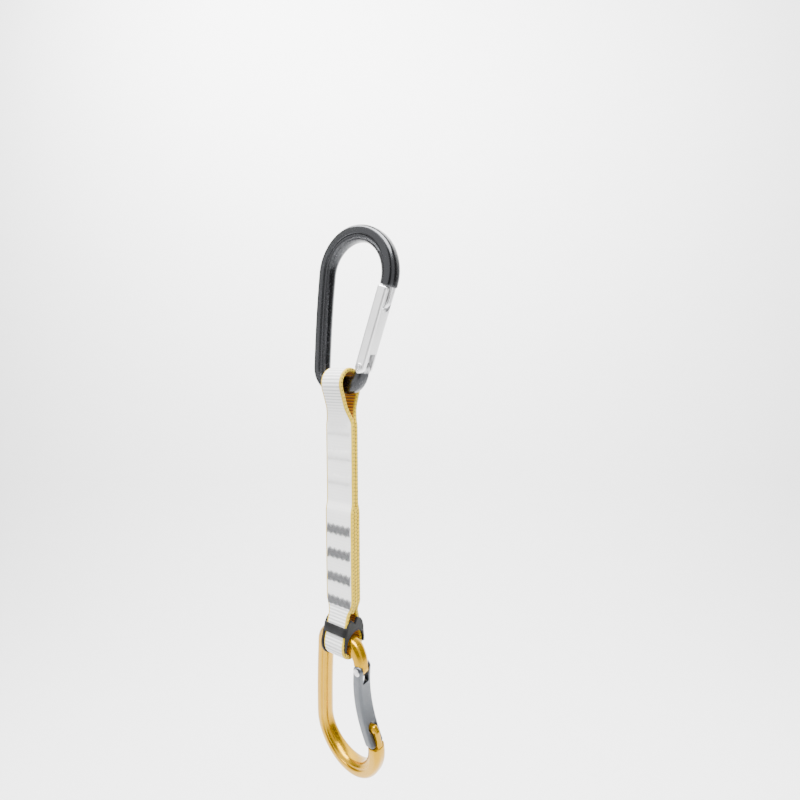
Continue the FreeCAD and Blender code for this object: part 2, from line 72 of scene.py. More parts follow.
def new_piece(name, bm, smooth_angle=35):
    """Turns a bmesh into an object with outward normals, smooth but for its sharp edges."""
    bmesh.ops.remove_doubles(bm, verts=bm.verts, dist=1e-7)
    bmesh.ops.recalc_face_normals(bm, faces=bm.faces)
    mesh = bpy.data.meshes.new(name)
    bm.to_mesh(mesh)
    bm.free()
    mesh.shade_smooth()
    mesh.set_sharp_from_angle(angle=math.radians(smooth_angle))
    thing = bpy.data.objects.new(name, mesh)
    bpy.context.scene.collection.objects.link(thing)
    return thing


def wire(tree, kind, inputs=None, **settings):
    """Adds one shader node; inputs may hold plain values or the sockets that feed them."""
    node = tree.nodes.new(kind)
    for key, value in settings.items():
        setattr(node, key, value)
    for key, value in (inputs or {}).items():
        if isinstance(value, bpy.types.NodeSocket):
            tree.links.new(value, node.inputs[key])
        else:
            node.inputs[key].default_value = value
    return node


def ramp(tree, source, stops):
    """A colour ramp fed by a value socket."""
    node = wire(tree, "ShaderNodeValToRGB", {"Fac": source})
    while len(node.color_ramp.elements) < len(stops):
        node.color_ramp.elements.new(0.5)
    for element, (place, shade) in zip(node.color_ramp.elements, stops):
        element.position = place
        element.color = shade if len(shade) == 4 else (*shade, 1.0)
    return node.outputs["Color"]


def maths(tree, operation, first, second=0.0, third=0.0):
    """One arithmetic node; each input is a number or a socket."""
    node = wire(tree, "ShaderNodeMath", {0: first, 1: second}, operation=operation)
    if operation in ("MULTIPLY_ADD", "SMOOTH_MIN", "COMPARE"):
        if isinstance(third, bpy.types.NodeSocket):
            tree.links.new(third, node.inputs[2])
        else:
            node.inputs[2].default_value = third
    return node.outputs[0]


def blend_colours(tree, share, first, second, mode="MIX"):
    """Mixes two colours by a share."""
    node = wire(tree, "ShaderNodeMix", data_type="RGBA", blend_type=mode)
    for index, value in ((0, share), (6, first), (7, second)):
        if isinstance(value, bpy.types.NodeSocket):
            tree.links.new(value, node.inputs[index])
        elif index == 0:
            node.inputs[index].default_value = value
        else:
            node.inputs[index].default_value = (*value[:3], 1.0)
    return node.outputs[2]


def new_material(name):
    """A material with an empty tree, its Principled shader and its output."""
    material = bpy.data.materials.new(name)
    material.use_nodes = True
    tree = material.node_tree
    tree.nodes.clear()
    shader = wire(tree, "ShaderNodeBsdfPrincipled")
    wire(tree, "ShaderNodeOutputMaterial", {"Surface": shader.outputs[0]})
    return material, tree, shader


room_bm = bmesh.new()
cove = [(-1.6, 0.0)]
cove += [(WALL_DISTANCE - COVE_RADIUS + COVE_RADIUS * math.sin(math.radians(a)),
          COVE_RADIUS - COVE_RADIUS * math.cos(math.radians(a))) for a in range(0, 91, 9)]
cove += [(WALL_DISTANCE, 2.4)]
turn = Matrix.Rotation(math.radians(CAMERA_TURN), 4, "Z")
for side in (-ROOM_HALF_WIDTH, ROOM_HALF_WIDTH):
    for depth, height in cove:
        room_bm.verts.new(turn @ Vector((side, depth, height + FLOOR_Z)))
room_bm.verts.ensure_lookup_table()
for index in range(len(cove) - 1):
    room_bm.faces.new([room_bm.verts[i] for i in
                       (index, index + len(cove), index + len(cove) + 1, index + 1)])
room = new_piece("studio_sweep", room_bm, 60)
room_material, tree, shader = new_material("matt_paper")
grain = wire(tree, "ShaderNodeTexNoise", {"Scale": 90.0, "Detail": 3.0})
tree.links.new(ramp(tree, grain.outputs["Fac"], [(0.3, (0.92, 0.92, 0.92)), (0.7, ROOM_COLOUR)]),
               shader.inputs["Base Color"])
shader.inputs["Roughness"].default_value = 0.95
room.data.materials.append(room_material)


def soft_box(name, place, target, size_x, size_y, power):
    """A rectangular area lamp that faces the target."""
    lamp = bpy.data.lights.new(name, "AREA")
    lamp.shape, lamp.size, lamp.size_y, lamp.energy = "RECTANGLE", size_x, size_y, power
    holder = bpy.data.objects.new(name, lamp)
    holder.location = place
    holder.rotation_euler = (Vector(target) - Vector(place)).to_track_quat("-Z", "Y").to_euler()
    bpy.context.scene.collection.objects.link(holder)
    return holder


middle = (cad_low + cad_high) / 2
soft_box("left_box", (-0.45, -0.75, 0.10), middle, 1.0, 1.5, 10.0)
soft_box("right_box", (0.85, -0.25, 0.05), middle, 0.8, 1.4, 5.0)
soft_box("top_box", (0.05, -0.25, 0.75), middle, 0.8, 0.8, 6.0)
soft_box("wall_wash", (0.1, -0.1, 0.9), (0.0, 0.75, -0.2), 1.6, 0.6, 100.0)
world = bpy.data.worlds.new("studio_air")
bpy.context.scene.world = world
world.use_nodes = True
world.node_tree.nodes["Background"].inputs["Color"].default_value = (1.0, 1.0, 1.0, 1.0)
world.node_tree.nodes["Background"].inputs["Strength"].default_value = 0.28

turn_z, drop, roll = (math.radians(a) for a in (CAMERA_TURN, CAMERA_DROP, CAMERA_ROLL))
forward = Vector((-math.sin(turn_z) * math.cos(drop), math.cos(turn_z) * math.cos(drop),
                  -math.sin(drop)))
right = Vector((math.cos(turn_z), math.sin(turn_z), 0.0))
upward = right.cross(forward)
right_rolled = right * math.cos(roll) + upward * math.sin(roll)
up_rolled = -right * math.sin(roll) + upward * math.cos(roll)
lens = bpy.data.cameras.new("camera")
lens.lens, lens.sensor_width, lens.clip_start = CAMERA_LENS, 36.0, 0.01
camera = bpy.data.objects.new("camera", lens)
camera.matrix_world = Matrix((
    (right_rolled.x, up_rolled.x, -forward.x, CAMERA_AT.x),
    (right_rolled.y, up_rolled.y, -forward.y, CAMERA_AT.y),
    (right_rolled.z, up_rolled.z, -forward.z, CAMERA_AT.z),
    (0, 0, 0, 1)))
bpy.context.scene.collection.objects.link(camera)
bpy.context.scene.camera = camera

# ------------------------------------------------------------------ carabiner bodies
# Each body is one aluminium bar, bent and hot forged to a section with a round outer face, a recess in each
# flank and a thin inner flange, then tumbled and anodised. The rivet tongue and keylock nose are part of it.

CARABINER_LENGTH, CARABINER_WIDTH = 98.0, 58.0
BOW_RADIUS, FOOT_RADIUS, STRAIGHT_TOP = 23.6, 9.6, 30.0
SLANT = math.radians(16.5)
SPINE_HALF, FOOT_HALF = 4.7, 5.3
GATE_LENGTH, GATE_THICK, GATE_WIDE, TIP_GAP = 47.9, 7.2, 10.0, 0.5
NOSE_HALF, NOSE_PROUD = 4.6, 1.9
KEYHOLE_AT, NOSE_LIFT, NOSE_HEAD_RADIUS, NOSE_NECK_HALF = 37.4, 0.95, 2.4, 1.6
TONGUE_HALF, TONGUE_RELIEF = 2.3, 3.95
END_SHRINK, END_ROUND, CORNER_SHARE = 0.94, 0.35, 0.22
BARE_TONGUE_REACH, NOSE_FROM, NOSE_ACROSS = 4.2, 30, 8
SLING_SEAT = Vector((20.8, 0.0, 5.6))
GROOVE_DEPTH = 1.3
JOINTS = {joint["name"]: joint for joint in frame["joints"]}


def hung(joint_name, turn, swing, tilt, flip):
    """A carabiner's frame in the row frame: its sling seat lies on the loop's hinge."""
    place = Matrix.Translation(Vector(JOINTS[joint_name]["pos_m"]))
    for degrees, axis in ((turn, "Z"), (swing, "X"), (tilt, "Y"), (flip, "X")):
        place = place @ Matrix.Rotation(math.radians(degrees), 4, axis)
    return place @ Matrix.Scale(MM, 4) @ Matrix.Translation(-SLING_SEAT)


upper_frame = hung("sling_swing", 0, 0, 4, 0)
lower_frame = hung("lower_carabiner_swing", -6, 5, 9, 180)

spine_x = SPINE_HALF
foot_z = FOOT_HALF
bow_centre = Vector((CARABINER_WIDTH - 4.8 - BOW_RADIUS, 0, CARABINER_LENGTH - 4.8 - BOW_RADIUS))
nose_at = bow_centre + BOW_RADIUS * Vector((math.cos(SLANT), 0, -math.sin(SLANT)))
nose_distance = GATE_LENGTH + TIP_GAP
nose_shift = GATE_THICK / 2 + NOSE_PROUD - NOSE_HALF
rivet_at = nose_at - Vector((nose_distance * math.sin(SLANT) + nose_shift * math.cos(SLANT), 0,
                             nose_distance * math.cos(SLANT) - nose_shift * math.sin(SLANT)))
foot_centre = Vector((spine_x + FOOT_RADIUS, 0, foot_z + FOOT_RADIUS))
riser_start = foot_z + FOOT_RADIUS * (1 - math.sin(SLANT))
riser_centre = Vector((rivet_at.x - (rivet_at.z - riser_start) * math.tan(SLANT)
                       - FOOT_RADIUS * math.cos(SLANT), 0, foot_centre.z))
bend_x, bend_z = bow_centre.x - spine_x, bow_centre.z - STRAIGHT_TOP
spine_bend = (bend_x ** 2 + bend_z ** 2 - BOW_RADIUS ** 2) / (2 * (bend_x - BOW_RADIUS))
bend_end = math.degrees(math.atan2(bend_z, bend_x - spine_bend))
GATE_FROM_BODY = Matrix.Translation(rivet_at) @ Matrix.Rotation(SLANT, 4, "Y")


def ease(share):
    """A smooth step from 0 to 1."""
    share = max(0.0, min(1.0, share))
    return share * share * (3 - 2 * share)


def lerp(first, second, share):
    return tuple(a + (b - a) * share for a, b in zip(first, second))


# half width, half depth, groove depth share, groove width share, how far the outer face is drawn in
NOSE_END = (4.6, 4.9, 0.0, 0.0, 0.35)
BOW_START = (4.75, 4.8, 0.0, 0.0, 0.15)
BOW_TOP = (4.8, 4.7, 1.0, 1.0, 0.0)
SPINE = (4.7, 4.2, 0.8, 1.0, 0.0)
FOOT = (5.3, 4.3, 0.0, 0.4, 0.0)
RISER = (3.9, 4.7, 0.0, 0.0, 0.9)
RISER_END = (3.6, 4.9, 0.0, 0.0, 1.0)


def bar_path():
    """Centreline stations with their section sizes, from the nose round the bow to the riser."""
    stations = []

    def arc(centre, radius, first, last, step, sizes):
        count = max(2, int(abs(last - first) / step))
        for index in range(count + 1):
            share = index / count
            angle = math.radians(first + (last - first) * share)
            stations.append((centre.x + radius * math.cos(angle), centre.z + radius * math.sin(angle),
                             angle, sizes(share, first + (last - first) * share)))

    def bow_sizes(share, degrees):
        if degrees < 4:
            return lerp(NOSE_END, BOW_START, ease((degrees + 16.5) / 20.5))
        return lerp(BOW_START, BOW_TOP, ease((degrees - 4) / 75))

    arc(bow_centre, BOW_RADIUS, -16.5, 90, 2.2, bow_sizes)
    arc(bow_centre, BOW_RADIUS, 92, bend_end, 2.2, lambda s, d: lerp(BOW_TOP, SPINE, ease(s)))
    arc(Vector((spine_x + spine_bend, 0, STRAIGHT_TOP)), spine_bend, bend_end + 0.05, 180, 0.2,
        lambda s, d: SPINE)
    for height in (26.0, 22.0, 18.0):
        stations.append((spine_x, height, math.pi, SPINE))
    arc(foot_centre, FOOT_RADIUS, 180, 270, 5, lambda s, d: lerp(SPINE, FOOT, ease(s)))
    arc(riser_centre, FOOT_RADIUS, 270, 343.5, 5, lambda s, d: lerp(FOOT, RISER, ease(s)))
    for share, below_rivet in ((0.5, 3.0), (1.0, 0.0)):
        stations.append((rivet_at.x - below_rivet * math.sin(SLANT),
                         rivet_at.z - below_rivet * math.cos(SLANT),
                         math.radians(343.5), lerp(RISER, RISER_END, share)))
    return stations


def bar_section(sizes):
    """The forged section's outline: (outward, across) corners, softened twice."""
    half_width, half_depth, groove, groove_width, drawn = sizes
    floor = half_depth - GROOVE_DEPTH * groove
    near = -0.16
    far = near - 0.16 - 0.30 * groove_width
    outer = [(1.0, 0.30 - 0.02 * drawn), (0.93, 0.62 - 0.22 * drawn), (0.70, 0.93 - 0.29 * drawn),
             (0.46, 1.0 - 0.16 * drawn), (near, 1.0)]
    half = [(w, d * half_depth) for w, d in outer]
    half += [(near - 0.06, floor), (far + 0.05, floor), (far, half_depth * 0.97),
             (far - 0.10, half_depth * 0.95), (-0.88, half_depth * 0.70), (-1.0, half_depth * 0.34)]
    outline = half + [(w, -d) for w, d in reversed(half)]
    outline = [Vector((w * half_width, d)) for w, d in outline]
    for _ in range(2):
        cut = []
        for first, second in zip(outline, outline[1:] + outline[:1]):
            cut += [first.lerp(second, CORNER_SHARE), first.lerp(second, 1 - CORNER_SHARE)]
        outline = cut
    return outline


def skin(bm, rings, close_start=True, close_end=True):
    """Joins rings of points into one closed tube of quads."""
    loops = [[bm.verts.new(point) for point in ring] for ring in rings]
    for first, second in zip(loops, loops[1:]):
        for index in range(len(first)):
            after = (index + 1) % len(first)
            bm.faces.new((first[index], first[after], second[after], second[index]))
    if close_start:
        bm.faces.new(loops[0])
    if close_end:
        bm.faces.new(list(reversed(loops[-1])))
    return loops


def plate(bm, outline, half_width, rounding, place):
    """A flat outline in the XZ plane, thickened evenly across Y, with rounded edges."""
    part = bmesh.new()
    face = part.faces.new([part.verts.new((x, -half_width, z)) for x, z in outline])
    raised = bmesh.ops.extrude_face_region(part, geom=[face])
    bmesh.ops.translate(part, vec=(0, 2 * half_width, 0),
                        verts=[v for v in raised["geom"] if isinstance(v, bmesh.types.BMVert)])
    bmesh.ops.recalc_face_normals(part, faces=part.faces)
    rims = [e for e in part.edges if abs(e.verts[0].co.y - e.verts[1].co.y) < 1e-6]
    bmesh.ops.bevel(part, geom=rims, offset=rounding, segments=3, profile=0.5, affect="EDGES",
                    material=-1, clamp_overlap=True)
    bmesh.ops.transform(part, matrix=place, verts=part.verts)
    add_to(bm, part)


def add_to(bm, part):
    """Moves one bmesh's geometry into another."""
    scratch = bpy.data.meshes.new("scratch")
    part.to_mesh(scratch)
    bm.from_mesh(scratch)
    bpy.data.meshes.remove(scratch)
    part.free()


def carve(bm, cutters):
    """Cuts closed shapes out of a closed shape."""
    def as_object(name, shape):
        bmesh.ops.recalc_face_normals(shape, faces=shape.faces)
        mesh = bpy.data.meshes.new(name)
        shape.to_mesh(mesh)
        shape.free()
        thing = bpy.data.objects.new(name, mesh)
        bpy.context.scene.collection.objects.link(thing)
        return thing

    base = as_object("blank", bm)
    tools = [as_object("tool", cutter) for cutter in cutters]
    for tool in tools:
        cut = base.modifiers.new("cut", "BOOLEAN")
        cut.operation, cut.solver, cut.object = "DIFFERENCE", "EXACT", tool
    bpy.context.view_layer.update()
    result = bmesh.new()
    result.from_object(base, bpy.context.evaluated_depsgraph_get())
    for thing in [base] + tools:
        mesh = thing.data
        bpy.data.objects.remove(thing)
        bpy.data.meshes.remove(mesh)
    return result


def cylinder(radius, half_length, place, segments=64):
    """A closed cylinder along local Y."""
    part = bmesh.new()
    bmesh.ops.create_cone(part, cap_ends=True, segments=segments, radius1=radius, radius2=radius,
                          depth=2 * half_length,
                          matrix=place @ Matrix.Rotation(math.radians(90), 4, "X"))
    return part


def nose_rings():
    """The nose arm in the gate's frame: it leaves the bow's outer face and narrows to a neck."""
    outside = GATE_THICK / 2 + NOSE_PROUD
    rings = []
    steps = 16
    for index in range(steps + 1):
        share = index / steps
        along = nose_distance + 2.0 - (nose_distance + 2.0 - KEYHOLE_AT + 1.0) * share
        half_across = 2.2 + (NOSE_NECK_HALF - 2.2) * ease(share / 0.5)
        face = outside - 0.14 - 0.30 * ease(share) - 1.5 * ease((share - 0.80) / 0.20)
        back = -2.6
        middle_x, half_x = (face + back) / 2, (face - back) / 2
        corner = min(1.1, half_across * 0.55)
        ring = []
        for sx, sy, start in ((1, 1, 0), (-1, 1, 90), (-1, -1, 180), (1, -1, 270)):
            for part_index in range(5):
                angle = math.radians(start + 90 * part_index / 4)
                ring.append(Vector((middle_x + sx * (half_x - corner) + corner * math.cos(angle),
                                    sy * (half_across - corner) + corner * math.sin(angle), along)))
        rings.append(ring)
    return rings


def carabiner_body(name, place):
    """One whole body: the bar, its rivet tongue and its nose."""
    bar = bmesh.new()
    rings = []
    stations = bar_path()
    first = stations[0]
    for u, v, angle, sizes in [first] + stations:
        outward = Vector((math.cos(angle), 0, math.sin(angle)))
        centre = Vector((u, 0, v))
        shrink = 1.0 if rings else END_SHRINK
        rings.append([centre + outward * (w * shrink) + Vector((0, d * shrink, 0))
                      for w, d in bar_section(sizes)])
    forward_step = Vector((math.sin(SLANT), 0, math.cos(SLANT)))
    rings[1] = [point + forward_step * END_ROUND for point in rings[1]]
    skin(bar, rings)
    relief = cylinder(TONGUE_RELIEF, 12, GATE_FROM_BODY)
    bar = carve(bar, [relief])

    tongue = bmesh.new()
    cap = [(3.3 * math.cos(math.radians(a)), 3.3 * math.sin(math.radians(a))) for a in range(0, 101, 10)]
    outline = [(-3.4, -8.5), (3.45, -8.5), (3.45, -2.0)] + cap + [(-1.6, 3.8), (-3.2, 3.1)]
    plate(tongue, outline, TONGUE_HALF, 0.45, GATE_FROM_BODY)
    add_to(bar, tongue)

    nose = bmesh.new()
    skin(nose, nose_rings())
    head = bmesh.new()
    head_place = (Matrix.Translation((0.1, 0, KEYHOLE_AT + NOSE_LIFT))
                  @ Matrix.Rotation(math.radians(90), 4, "Y"))
    bmesh.ops.create_cone(head, cap_ends=True, segments=48, radius1=NOSE_HEAD_RADIUS,
                          radius2=NOSE_HEAD_RADIUS, depth=6.0, matrix=head_place)
    rims = [e for e in head.edges if abs(e.verts[0].co.x - e.verts[1].co.x) < 1e-6]
    bmesh.ops.bevel(head, geom=rims, offset=0.8, segments=4, profile=0.5, affect="EDGES", material=-1,
                    clamp_overlap=True)
    add_to(nose, head)
    bmesh.ops.transform(nose, matrix=GATE_FROM_BODY, verts=nose.verts)
    add_to(bar, nose)
    bmesh.ops.transform(bar, matrix=place, verts=bar.verts)
    thing = new_piece(name, bar, 42)
    # the nose and the tongue rub bare, so they are marked for the finish
    to_gate = (place @ GATE_FROM_BODY).inverted()
    bare = thing.data.attributes.new("bare", "FLOAT", "POINT")
    for index, vertex in enumerate(thing.data.vertices):
        at = to_gate @ vertex.co
        on_tongue = math.hypot(at.x, at.z) < BARE_TONGUE_REACH and abs(at.y) < TONGUE_HALF + 0.05
        on_nose = NOSE_FROM < at.z < nose_distance - 0.1 and abs(at.x) < NOSE_ACROSS
        bare.data[index].value = 1.0 if on_tongue or on_nose else 0.0
    return thing


def handling_wear():
    """Shader group: fine tumbling marks and light scratches, as a mask and a height."""
    group = bpy.data.node_groups.new("handling_wear", "ShaderNodeTree")
    group.interface.new_socket(name="Scale", in_out="INPUT", socket_type="NodeSocketFloat")
    group.interface.new_socket(name="Marks", in_out="OUTPUT", socket_type="NodeSocketFloat")
    group.interface.new_socket(name="Cloud", in_out="OUTPUT", socket_type="NodeSocketFloat")
    group.interface.new_socket(name="Height", in_out="OUTPUT", socket_type="NodeSocketFloat")
    given = wire(group, "NodeGroupInput")
    place = wire(group, "ShaderNodeTexCoord").outputs["Object"]
    scale = given.outputs["Scale"]
    fine = wire(group, "ShaderNodeTexNoise",
                {"Vector": place, "Scale": scale, "Detail": 6.0, "Roughness": 0.6})
    stretch = wire(group, "ShaderNodeMapping", {"Vector": place, "Scale": (6.0, 6.0, 0.35),
                                                "Rotation": (0.2, 0.5, 0.0)})
    scratch = wire(group, "ShaderNodeTexNoise",
                   {"Vector": stretch.outputs[0], "Scale": scale, "Detail": 2.0})
    scratched = maths(group, "GREATER_THAN", scratch.outputs["Fac"], 0.66)
    lines = maths(group, "SMOOTH_MIN", scratched, 1.0, 0.1)
    cloud = wire(group, "ShaderNodeTexNoise",
                 {"Vector": place, "Scale": maths(group, "MULTIPLY", scale, 0.06), "Detail": 2.0})
    marks = maths(group, "MULTIPLY", lines, fine.outputs["Fac"])
    done = wire(group, "NodeGroupOutput")
    group.links.new(marks, done.inputs["Marks"])
    group.links.new(cloud.outputs["Fac"], done.inputs["Cloud"])
    group.links.new(fine.outputs["Fac"], done.inputs["Height"])
    return group


wear_group = handling_wear()


def metal(name, shade, worn, roughness, scale=900.0, bump=0.05, metallic=1.0, coat=0.0, bared=None):
    """A metal finish: colour cloud, tumbling grain, faint scratches, a bump and rubbed bare parts."""
    material, tree, shader = new_material(name)
    wear = wire(tree, "ShaderNodeGroup", node_tree=wear_group)
    wear.inputs["Scale"].default_value = scale
    cloudy = ramp(tree, wear.outputs["Cloud"], [(0.3, tuple(c * 0.86 for c in shade)), (0.7, shade)])
    colour = blend_colours(tree, maths(tree, "MULTIPLY", wear.outputs["Marks"], 0.35), cloudy, worn)
    if bared:
        rubbed = wire(tree, "ShaderNodeAttribute", attribute_name="bare").outputs["Fac"]
        colour = blend_colours(tree, rubbed, colour, bared)
    tree.links.new(colour, shader.inputs["Base Color"])
    rough = maths(tree, "MULTIPLY_ADD", wear.outputs["Height"], 0.16, roughness - 0.08)
    tree.links.new(rough, shader.inputs["Roughness"])
    shader.inputs["Metallic"].default_value = metallic
    shader.inputs["Coat Weight"].default_value = coat
    shader.inputs["Coat Roughness"].default_value = 0.12
    relief = wire(tree, "ShaderNodeBump",
                  {"Height": wear.outputs["Height"], "Strength": bump, "Distance": 0.0002})
    tree.links.new(relief.outputs[0], shader.inputs["Normal"])
    return material


graphite = metal("graphite_anodised", (0.040, 0.041, 0.044), (0.09, 0.09, 0.09), 0.26, bump=0.02, coat=0.2,
                 bared=(0.60, 0.60, 0.61))
gold = metal("gold_anodised", (0.46, 0.25, 0.0), (0.56, 0.33, 0.0), 0.25, metallic=0.85)

upper_body = carabiner_body("upper_carabiner_body", upper_frame)
upper_body.data.materials.append(graphite)
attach(upper_body, "upper_carabiner")
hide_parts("upper_body")

lower_body = carabiner_body("lower_carabiner_body", lower_frame)
lower_body.data.materials.append(gold)
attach(lower_body, "lower_carabiner")
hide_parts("lower_body")

# ------------------------------------------------------------------ gates
# A solid gate is milled from a drawn aluminium bar: a keyhole slot at the tip takes the nose, a fork at the
# pivot straddles the body's tongue, and a blind bore holds the plunger and spring. It is brushed lengthways.

GATE_EDGE = 1.8
KEYHOLE_RADIUS, KEYHOLE_MOUTH_HALF = 3.5, 2.0
FORK_HALF, FORK_END = 2.5, 9.0
BORE_RADIUS, BORE_END = 1.68, 27.1
TIP_ROUND = 1.1


def gate_rings(bow):
    """Rounded rectangles from the pivot's round end to the flat tip."""
    half = GATE_THICK / 2
    stations = []
    for angle in range(-84, 0, 12):
        stations.append((half * math.sin(math.radians(angle)), half * math.cos(math.radians(angle)), 0.0))
    count = 44
    flat_end = GATE_LENGTH - TIP_ROUND
    stations += [(flat_end * i / count, half, 0.0) for i in range(count + 1)]
    for angle in (25, 50, 70, 90):
        drawn = TIP_ROUND * (1 - math.cos(math.radians(angle)))
        stations.append((flat_end + TIP_ROUND * math.sin(math.radians(angle)), half, drawn))
    rings = []
    for along, thick, drawn in stations:
        share = max(0.0, min(1.0, along / GATE_LENGTH))
        middle_x = -4 * bow * share * (1 - share)
        half_x, half_y = thick - drawn * 0.8, GATE_WIDE / 2 - drawn * 0.8
        corner = min(GATE_EDGE, half_x * 0.75)
        ring = []
        for sx, sy, start in ((1, 1, 0), (-1, 1, 90), (-1, -1, 180), (1, -1, 270)):
            for index in range(8):
                angle = math.radians(start + 90 * index / 7)
                ring.append(Vector((middle_x + sx * (half_x - corner) + corner * math.cos(angle),
                                    sy * (half_y - corner) + corner * math.sin(angle), along)))
        rings.append(ring)
    return rings


def slot_cutter(half_width, low, high, round_radius, round_at, corner):
    """A prism along X whose outline, seen from outside, is a slot with an optional round."""
    part = bmesh.new()
    outline = []
    if round_radius:
        open_angle = math.asin(half_width / round_radius)
        steps = 40
        for index in range(steps + 1):
            angle = open_angle + (2 * math.pi - 2 * open_angle) * index / steps
            outline.append((round_radius * math.sin(angle), round_at + round_radius * math.cos(angle)))
        outline += [(-half_width, high), (half_width, high)]
    else:
        outline = [(-half_width, low), (half_width, low)]
        for sign, angles in ((1, range(0, 91, 15)), (-1, range(90, 181, 15))):
            for degrees in angles:
                outline.append((sign * (half_width - corner) + corner * math.cos(math.radians(degrees)),
                                high - corner + corner * math.sin(math.radians(degrees))))
    face = part.faces.new([part.verts.new((-20, y, z)) for y, z in outline])
    raised = bmesh.ops.extrude_face_region(part, geom=[face])
    bmesh.ops.translate(part, vec=(40, 0, 0),
                        verts=[v for v in raised["geom"] if isinstance(v, bmesh.types.BMVert)])
    return part


def carabiner_gate(name, place, bow, bore_tilt):
    """One gate, milled from its bar."""
    bar = bmesh.new()
    skin(bar, gate_rings(bow))
    keyhole = slot_cutter(KEYHOLE_MOUTH_HALF, 0, GATE_LENGTH + 5, KEYHOLE_RADIUS, KEYHOLE_AT, 0)
    fork = slot_cutter(FORK_HALF, -12, FORK_END, 0, 0, 0.7)
    bore_middle = Matrix.Translation((0, 0, BORE_END / 2 + 2))
    bore_axis = Matrix.Rotation(-math.radians(bore_tilt), 4, "Y") @ bore_middle
    along_bore = bore_axis @ Matrix.Rotation(math.radians(90), 4, "X")
    bore = cylinder(BORE_RADIUS, BORE_END / 2 - 2, along_bore, 32)
    bar = carve(bar, [keyhole, fork, bore])
    bmesh.ops.transform(bar, matrix=place @ GATE_FROM_BODY, verts=bar.verts)
    thing = new_piece(name, bar, 30)
    softened = thing.modifiers.new("broken_edges", "BEVEL")
    softened.width, softened.segments, softened.limit_method = 0.00022, 2, "ANGLE"
    softened.angle_limit, softened.harden_normals = math.radians(50), True
    return thing


satin = metal("satin_gate", (0.90, 0.90, 0.90), (0.95, 0.95, 0.95), 0.34, scale=700.0, bump=0.04)
slate = metal("grey_gate", (0.10, 0.106, 0.115), (0.24, 0.24, 0.24), 0.36, scale=700.0, bump=0.04)

upper_gate = carabiner_gate("upper_solid_gate", upper_frame, 0.0, 0.0)
upper_gate.data.materials.append(satin)
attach(upper_gate, "upper_gate")
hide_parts("upper_gate")

lower_gate = carabiner_gate("lower_bent_gate", lower_frame, 4.0, 12.0)
lower_gate.data.materials.append(slate)
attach(lower_gate, "lower_gate")
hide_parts("lower_gate")

# ------------------------------------------------------------------ rivets, plungers and springs
# The pivot is a steel rivet, pressed through the fork and headed at both ends, so each head is a low dome
# with a ring left by the punch. The plunger is a turned pin and the spring is wound from bright wire.

RIVET_SHANK, RIVET_HEAD, HEAD_HEIGHT = 1.6, 2.4, 0.45

steel = metal("rivet_steel", (0.60, 0.60, 0.61), (0.9, 0.9, 0.9), 0.28, scale=1200.0)
bright = metal("spring_steel", (0.55, 0.55, 0.57), (0.9, 0.9, 0.9), 0.2, scale=1500.0)


def rivet(name, place, body, node):
    """A rivet turned from its half profile about Y."""
    face = GATE_WIDE / 2
    side = [(0, face + HEAD_HEIGHT), (0.9, face + HEAD_HEIGHT - 0.03), (1.05, face + HEAD_HEIGHT - 0.16),
            (1.25, face + HEAD_HEIGHT - 0.16), (1.4, face + HEAD_HEIGHT - 0.04),
            (2.0, face + HEAD_HEIGHT - 0.12),
            (2.32, face + HEAD_HEIGHT - 0.28), (RIVET_HEAD, face), (RIVET_SHANK, face)]
    profile = side + [(r, -y) for r, y in reversed(side)]
    turned = bmesh.new()
    points = [turned.verts.new((r, y, 0)) for r, y in profile]
    edges = [turned.edges.new(pair) for pair in zip(points, points[1:])]
    bmesh.ops.spin(turned, geom=points + edges, cent=(0, 0, 0), axis=(0, 1, 0), angle=math.radians(360),
                   steps=48, use_merge=True)
    bmesh.ops.remove_doubles(turned, verts=turned.verts, dist=1e-5)
    bmesh.ops.transform(turned, matrix=place @ GATE_FROM_BODY, verts=turned.verts)
    thing = new_piece(name, turned, 40)
    thing.data.materials.append(steel)
    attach(thing, body)
    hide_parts(node)


rivet("upper_pivot_rivet", upper_frame, "upper_gate", "upper_rivet")
rivet("lower_pivot_rivet", lower_frame, "lower_gate", "lower_rivet")
for node in ("upper_plunger", "lower_plunger", "upper_spring", "lower_spring"):
    frame["nodes"][node].data.materials.clear()
    frame["nodes"][node].data.materials.append(bright)

# ------------------------------------------------------------------ sling tape
# One thick woven tape, white outside and golden yellow inside, with braided yellow edges. A long strand makes
# both loops, its ends meet at the back under a bar tack, and a strip is sewn in between the two faces below.

SLING_LENGTH, TAPE_WIDTH, LOOP_WIDTH, TAPE_THICK = 180.0, 21.5, 15.6, 2.5
LOOP_RADIUS, LOOP_OUTER = 8.6, 9.9
UPPER_MERGE, OVERLAP_START, LOWER_MERGE = 32.0, 84.5, 147.0
BUTT_SEAM, MIDDLE_END = 114.3, 151.5
FOLD_TOP, FOLD_TOP_RUN, FOLD_LOW, FOLD_LOW_RUN = 36, 14, 143, 10
RIB_PITCH, BRAID_PITCH, EDGE_BEAD = 1.9, 1.5, 1.1
TWO_LAYER, THREE_LAYER = 1.4, 2.68
PATH_STEP = 0.4
TAPE_MARKS = ("across_mm", "edge_mm", "along_mm", "outer_face", "loop_share")
sling_frame = Matrix.Translation(Vector(JOINTS["sling_swing"]["pos_m"])) @ Matrix.Scale(MM, 4) \
    @ Matrix.Translation((0, 0, LOOP_OUTER))


